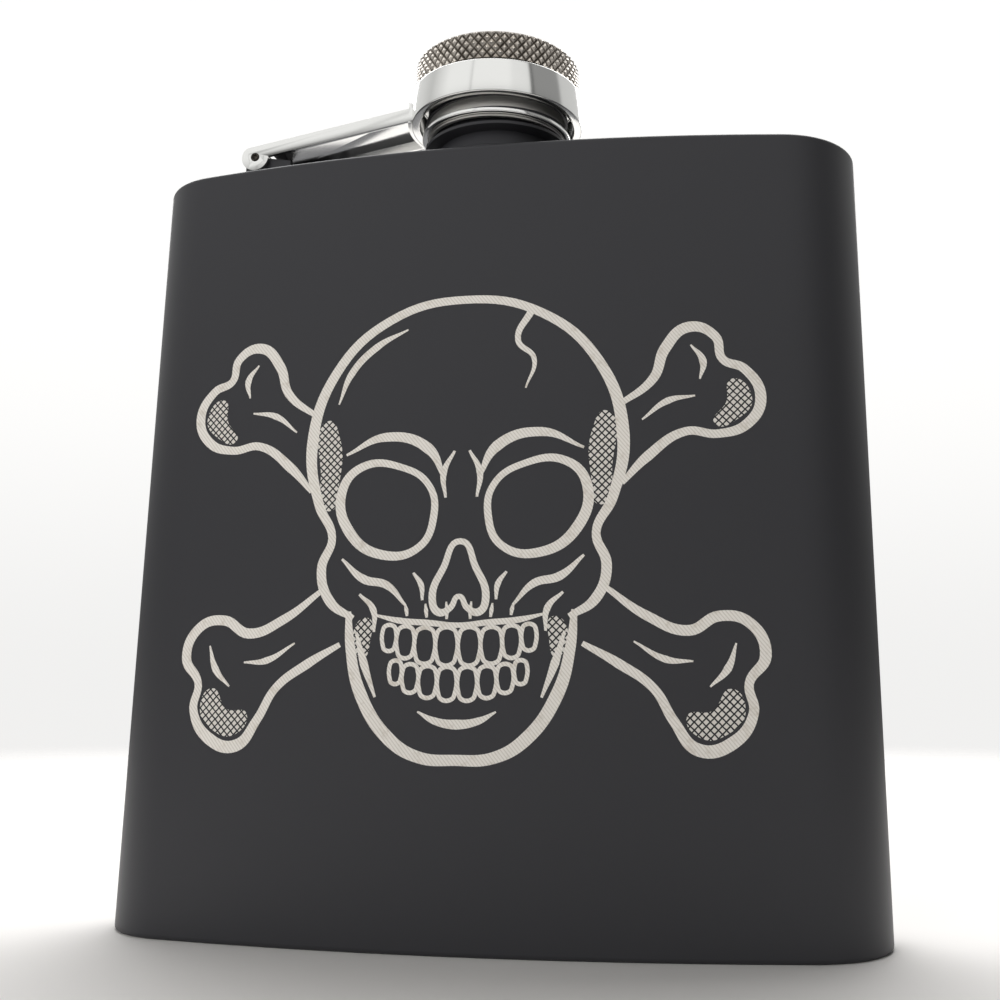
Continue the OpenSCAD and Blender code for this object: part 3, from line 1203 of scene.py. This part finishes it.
@finish
def polished_steel(f, colours):
    """Mirror-polished stainless steel with faint wiping marks and hairlines."""
    base = tuple(colours.polished)
    smear = f.noise(90, 3.0, 0.6, distortion=0.6)
    hair = f.noise(1.0, 2.0, 0.5, f.stretched((500, 500, 5200)))
    tone = f.blend(f.between(smear, 0.35, 0.7), base, tuple(0.93 * c for c in base))
    rough = f.maths("ADD", f.between(smear, 0.35, 0.75, 0.045, 0.11),
                    f.between(hair, 0.62, 0.75, 0.0, 0.06))
    f.set(Base_Color=tone, Metallic=1.0, Roughness=rough,
          Normal=f.bumps(f.noise(260, 1.0), 0.004 * MM, 0.35))


def knurled_steel(axis, valley, peak):
    """Rolled steel, warm and dull, with dark residue down in the grooves."""
    f = Finish("knurled_steel")
    colours = bpy.context.scene.flask_finish
    centred = f.add("ShaderNodeMapping", {
        "Vector": f.place, "Location": (-axis.x, -axis.y, 0), "Scale": (1, 1, 0),
    }).outputs["Vector"]
    radius = f.add("ShaderNodeVectorMath", {0: centred}, operation="LENGTH").outputs["Value"]
    height = f.between(radius, valley - 0.02 * MM, peak - 0.1 * MM, 0, 1, smooth=True)
    inside = f.between(radius, valley - 0.9 * MM, valley - 0.5 * MM, 1.0, 0.0)
    height = f.maths("MAXIMUM", height, inside)
    wear = f.noise(700, 3.0, 0.6)
    height = f.maths("ADD", height, f.between(wear, 0.3, 0.7, -0.22, 0.22))
    steel = f.blend(f.between(f.noise(240, 2.0), 0.35, 0.65), tuple(colours.knurled),
                    tuple(0.82 * c for c in colours.knurled))
    # Painted shade: the deeper a point lies in the grooves, the nearer its colour is to the dark
    # groove colour
    tone = f.blend(f.between(height, 0.05, 0.75), tuple(colours.groove_shade), steel)
    rough = f.between(height, 0.0, 1.0, 0.55, 0.27)
    f.set(Base_Color=tone, Metallic=1.0, Roughness=rough,
          Normal=f.bumps(wear, 0.03 * MM, 0.35))
    return f.material


@finish
def turned_steel(f, colours):
    """Steel straight from the lathe, with fine rings and a brown tint."""
    base = tuple(colours.turned)
    rings = f.noise(1.0, 2.0, 0.6, f.stretched((120, 120, 9000)))
    stain = f.noise(300, 3.0)
    tone = f.blend(f.between(stain, 0.4, 0.65), base, (0.22, 0.19, 0.15))
    f.set(Base_Color=tone, Metallic=1.0, Roughness=f.between(rings, 0.3, 0.7, 0.26, 0.42),
          Normal=f.bumps(rings, 0.01 * MM, 0.4))


@finish
def dark_steel(f, colours):
    """Blackened steel of the hinge pin, rubbed bright in places."""
    rub = f.noise(2500, 3.0)
    tone = f.blend(f.between(rub, 0.5, 0.75), (0.035, 0.030, 0.026), (0.16, 0.145, 0.12))
    f.set(Base_Color=tone, Metallic=0.8, Roughness=f.between(rub, 0.3, 0.7, 0.5, 0.34),
          Normal=f.bumps(rub, 0.01 * MM, 0.4))


def laser_lines(f, pitch, turn):
    """Dark fine lines a pitch apart, turned in the plane of the front."""
    place = f.stretched((1, 0, 1), (0, turn, 0))
    return f.add("ShaderNodeTexWave", {
        "Vector": place, "Scale": tau / (20 * pitch), "Distortion": 0.6, "Detail": 2.0,
        "Detail Scale": 4.0,
    }, wave_type="BANDS", bands_direction="X").outputs["Fac"]


@finish
def engraved_steel(f, colours):
    """Dull bare steel where the laser burnt the coating away, in fine slanting passes."""
    base = tuple(colours.engraved)
    passes = laser_lines(f, 0.34 * MM, radians(40))
    burn = f.noise(900, 3.0, 0.6)
    tone = f.blend(f.between(passes, 0.0, 0.45, 0.45, 0.0), base, (0.42, 0.37, 0.31))
    tone = f.blend(f.between(burn, 0.55, 0.75, 0.0, 0.5), tone, (0.50, 0.44, 0.36))
    f.set(Base_Color=tone, Metallic=0.15, Roughness=f.between(burn, 0.3, 0.7, 0.5, 0.65),
          Normal=f.bumps(passes, 0.012 * MM, 0.5))


@finish
def hatched_steel(f, colours):
    """Engraved shading: bare steel crossed by two sets of black lines."""
    across = laser_lines(f, 0.62 * MM, radians(45))
    back = laser_lines(f, 0.62 * MM, radians(-45))
    net = f.maths("MINIMUM", across, back)
    tone = f.blend(f.between(net, 0.12, 0.24), tuple(colours.coating),
                   tuple(0.85 * c for c in colours.engraved))
    f.set(Base_Color=tone, Metallic=0.1, Roughness=f.between(net, 0.1, 0.5, 0.45, 0.6),
          Normal=f.bumps(net, 0.012 * MM, 0.5))


@finish
def soft_seal(f, colours):
    """Off-white moulded seal."""
    base = tuple(colours.seal)
    cloud = f.noise(400, 3.0)
    tone = f.blend(f.between(cloud, 0.35, 0.65), base, tuple(0.9 * c for c in base))
    f.set(Base_Color=tone, Roughness=f.between(cloud, 0.3, 0.7, 0.5, 0.6),
          Normal=f.bumps(f.noise(3000, 2.0), 0.01 * MM, 0.3))


# ---------------------------------------------------------------- stage

# Soft lights: the middle of each and the length of its sides, in metres
KEY_PLACE, KEY_SIZE = (-0.06, 0.27, 0.45), 0.62
FRONT_PLACE, FRONT_SIZE = (-0.30, -0.62, 0.12), 0.50
# Brightness round the room, by bearing in degrees to the right of the front
ROOM = [(-180, 0.70), (-130, 0.82), (-104, 0.74), (-85, 0.62), (-69, 0.82), (-54, 1.0),
        (-23, 1.0), (-21.5, 0.45), (-20, 1.0), (28, 1.0), (34, 0.90), (56, 0.88),
        (58, 0.14), (61, 0.14), (63, 0.31), (102, 0.31), (108, 0.66), (180, 0.70)]
# How much of the room's brightness reaches a dull surface
DULL_SHARE = 0.22


class FLASK_OT_stage(bpy.types.Operator):
    """Lay the pale floor and set the soft lights and the camera"""

    bl_idname = "flask.stage"
    bl_label = "Stage"

    def execute(self, context):
        studio = context.scene.flask_studio
        lay_floor(studio)
        light_room(context.scene)
        soft_light("key_light", KEY_PLACE, KEY_SIZE, studio.key)
        front = soft_light("front_light", FRONT_PLACE, FRONT_SIZE, studio.fill)
        # It lights the engraving without a glare on the coating
        front.visible_glossy = False
        place_camera(context.scene, studio)
        return {"FINISHED"}


def lay_floor(studio):
    let_go()
    bpy.ops.mesh.primitive_circle_add(vertices=96, radius=studio.reach, fill_type="NGON")
    floor = bpy.context.object
    floor.name = "floor"
    f = Finish("pale_floor")
    base = tuple(studio.floor)
    away = f.add("ShaderNodeVectorMath", {0: f.place}, operation="LENGTH").outputs["Value"]
    f.set(Base_Color=f.blend(f.noise(6, 3.0), base, tuple(0.97 * c for c in base)),
          Alpha=f.between(away, 0.3 * studio.reach, studio.reach, 1.0, 0.0, smooth=True),
          Roughness=0.75, Specular_IOR_Level=0.2)
    floor.data.materials.append(f.material)


def light_room(scene):
    """A pale room: brighter overhead, with grey stretches that the mirror finish shows."""
    scene.world = bpy.data.worlds.new("room")
    scene.world.use_nodes = True
    w = Wiring(scene.world.node_tree)
    w.nodes.clear()
    way = w.add("ShaderNodeTexCoord").outputs["Generated"]
    right, back, up = w.add("ShaderNodeSeparateXYZ", {0: way}).outputs
    bearing = w.maths("ARCTAN2", right, w.maths("MULTIPLY", back, -1))
    walls = w.add("ShaderNodeValToRGB", {0: w.between(bearing, -pi, pi)})
    ramp = walls.color_ramp
    while len(ramp.elements) < len(ROOM):
        ramp.elements.new(0.5)
    for element, (degrees, level) in zip(ramp.elements, ROOM):
        element.position = (degrees + 180) / 360
        element.color = (level, level, 0.985 * level, 1)
    # Darker towards the skirting, white overhead
    lift = w.between(up, -0.05, 0.42, 0.06, 1.0, smooth=True)
    lit = w.add("ShaderNodeVectorMath", {0: walls.outputs[0], "Scale": lift}, operation="SCALE")
    path = w.add("ShaderNodeLightPath").outputs
    room = w.add("ShaderNodeBackground", {
        "Color": lit.outputs[0],
        "Strength": w.between(path["Is Diffuse Ray"], 0, 1, 1.0, DULL_SHARE),
    })
    # What the camera sees is a plain pale backdrop
    backdrop = w.add("ShaderNodeBackground", {
        "Color": (1, 0.995, 0.985, 1),
        "Strength": w.between(up, 0.0, 0.30, 0.88, 1.02, smooth=True),
    })
    either = w.add("ShaderNodeMixShader", {
        0: path["Is Camera Ray"], 1: room.outputs[0], 2: backdrop.outputs[0],
    })
    w.add("ShaderNodeOutputWorld", {"Surface": either.outputs[0]})


def soft_light(name, place, size, watts):
    """A square soft box that faces the middle of the flask."""
    target = sum(CAD_BOUNDS, Vector()) / 2
    let_go()
    bpy.ops.object.light_add(type="AREA", location=place)
    lamp = bpy.context.object
    lamp.name = name
    lamp.data.shape = "SQUARE"
    lamp.data.size = size
    lamp.data.energy = watts
    lamp.rotation_euler = (target - Vector(place)).to_track_quat("-Z", "Y").to_euler()
    return lamp


def place_camera(scene, studio):
    let_go()
    bpy.ops.object.camera_add(location=studio.place, rotation=studio.turn)
    camera = bpy.context.object
    camera.name = "camera"
    camera.data.lens = studio.lens
    camera.data.sensor_width = 36
    camera.data.shift_x, camera.data.shift_y = studio.shift
    camera.data.clip_start = MM
    scene.camera = camera
    scene.view_settings.view_transform = "Standard"


# ---------------------------------------------------------------- panel and start


OPERATORS = [
    FLASK_OT_walls, FLASK_OT_top, FLASK_OT_base, FLASK_OT_neck, FLASK_OT_bracket,
    FLASK_OT_pin, FLASK_OT_arm, FLASK_OT_collar, FLASK_OT_clip, FLASK_OT_sleeve,
    FLASK_OT_seal, FLASK_OT_knob, FLASK_OT_picture, FLASK_OT_stage,
]


class FLASK_PT_build(bpy.types.Panel):
    """Buttons for each piece of the flask"""

    bl_label = "Hip Flask"
    bl_space_type = "VIEW_3D"
    bl_region_type = "UI"
    bl_category = "Hip Flask"

    def draw(self, context):
        column = self.layout.column(align=True)
        for operator in OPERATORS:
            column.operator(operator.bl_idname)


def register():
    for cls in (*GROUPS.values(), *OPERATORS, FLASK_PT_build):
        bpy.utils.register_class(cls)
    for name, group in GROUPS.items():
        setattr(bpy.types.Scene, name, bpy.props.PointerProperty(type=group))


def unregister():
    for name in GROUPS:
        delattr(bpy.types.Scene, name)
    for cls in reversed((*GROUPS.values(), *OPERATORS, FLASK_PT_build)):
        bpy.utils.unregister_class(cls)


def main():
    register()
    for operator in OPERATORS:
        group, name = operator.bl_idname.split(".")
        getattr(getattr(bpy.ops, group), name)()


if __name__ == "__main__":
    main()
